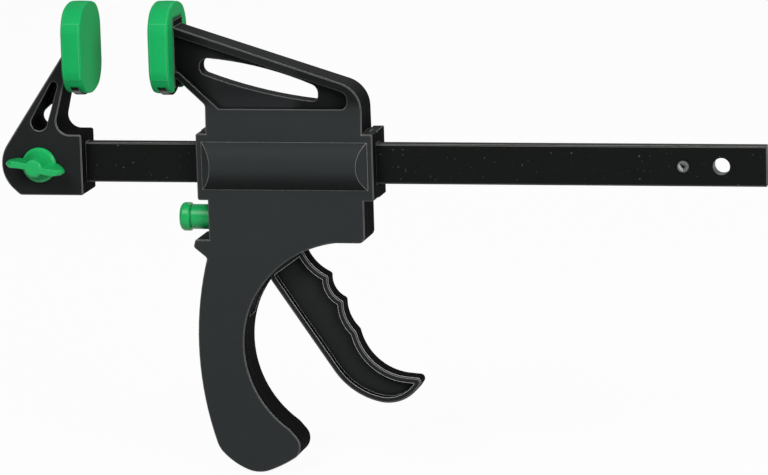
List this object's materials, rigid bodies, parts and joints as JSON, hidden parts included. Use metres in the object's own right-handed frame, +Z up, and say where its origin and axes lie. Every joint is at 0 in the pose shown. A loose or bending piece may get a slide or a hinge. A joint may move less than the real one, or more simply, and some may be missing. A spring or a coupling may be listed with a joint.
{
  "type": "quick release bar clamp",
  "caption": "One-handed bar clamp: a fixed jaw and a sliding jaw with soft pads on a flat bar, with a squeeze trigger, a release button and a wing knob.",
  "frame": {"origin": "centre of the fixed jaw's clamping face", "axes": "+X along the bar from the fixed jaw towards the free end, +Z up from the bar towards the pads, +Y from the wing knob side towards the rear"},
  "size_m": [0.3435, 0.0403, 0.2115],
  "materials": {
    "black_steel": "satin black on steel",
    "black_moulding": "fine-grained charcoal moulding",
    "green_pad": "satin soft green",
    "green_moulding": "semi-gloss green moulding",
    "zinc_steel": "zinc-plated",
    "spring_steel": "drawn spring wire",
    "screw_steel": "blackened steel"
  },
  "bodies": {
    "bar_and_fixed_jaw": {"bar": "black_steel", "bar_stop_pin": "black_steel", "fixed_jaw": "black_moulding", "fixed_jaw_pad": "green_pad", "jaw_nut": "zinc_steel"},
    "wing_bolt": {"wing_knob": "green_moulding", "wing_stud": "zinc_steel"},
    "moving_jaw": {"front_shell": "black_moulding", "rear_shell": "black_moulding", "moving_jaw_pad": "green_pad", "trigger_pin": "zinc_steel", "housing_screws": "screw_steel", "drive_spring": "spring_steel", "brake_spring": "spring_steel"},
    "trigger": {"trigger": "black_moulding"},
    "drive_plates": {"drive_plate_1": "zinc_steel", "drive_plate_2": "zinc_steel"},
    "brake_plate": {"brake_plate": "zinc_steel"},
    "release_button": {"release_button": "green_moulding"}
  },
  "joints": [
    {"name": "wing_turn", "type": "hinge", "parent": "bar_and_fixed_jaw", "child": "wing_bolt", "pos_m": [-0.0228, 0, -0.0516], "axis": [0, 1, 0], "continuous": true},
    {"name": "jaw_slide", "type": "slide", "parent": "bar_and_fixed_jaw", "child": "moving_jaw", "axis": [1, 0, 0], "range_m": [-0.0304, 0.1336]},
    {"name": "trigger_pivot", "type": "hinge", "parent": "moving_jaw", "child": "trigger", "pos_m": [0.084, 0, -0.0806], "axis": [0, 1, 0], "range_deg": [0, 24]},
    {"name": "drive_plates_slide", "type": "slide", "parent": "moving_jaw", "child": "drive_plates", "axis": [1, 0, 0], "range_m": [0, 0.00585], "stiffness_N_per_m": 500, "springref_m": -0.008, "deforming": ["drive_spring"]},
    {"name": "button_press", "type": "slide", "parent": "moving_jaw", "child": "release_button", "axis": [1, 0, 0], "range_m": [0, 0.003], "stiffness_N_per_m": 600, "springref_m": -0.002},
    {"name": "brake_tilt", "type": "hinge", "parent": "moving_jaw", "child": "brake_plate", "pos_m": [0.0633, 0, -0.0376], "axis": [0, -1, 0], "range_deg": [0, 4.6], "deforming": ["brake_spring"]}
  ],
  "couplings": [
    {"joint": "trigger_pivot", "follows": "drive_plates_slide", "rad_per_m": 71.43},
    {"joint": "brake_tilt", "follows": "button_press", "rad_per_m": 25.7}
  ]
}
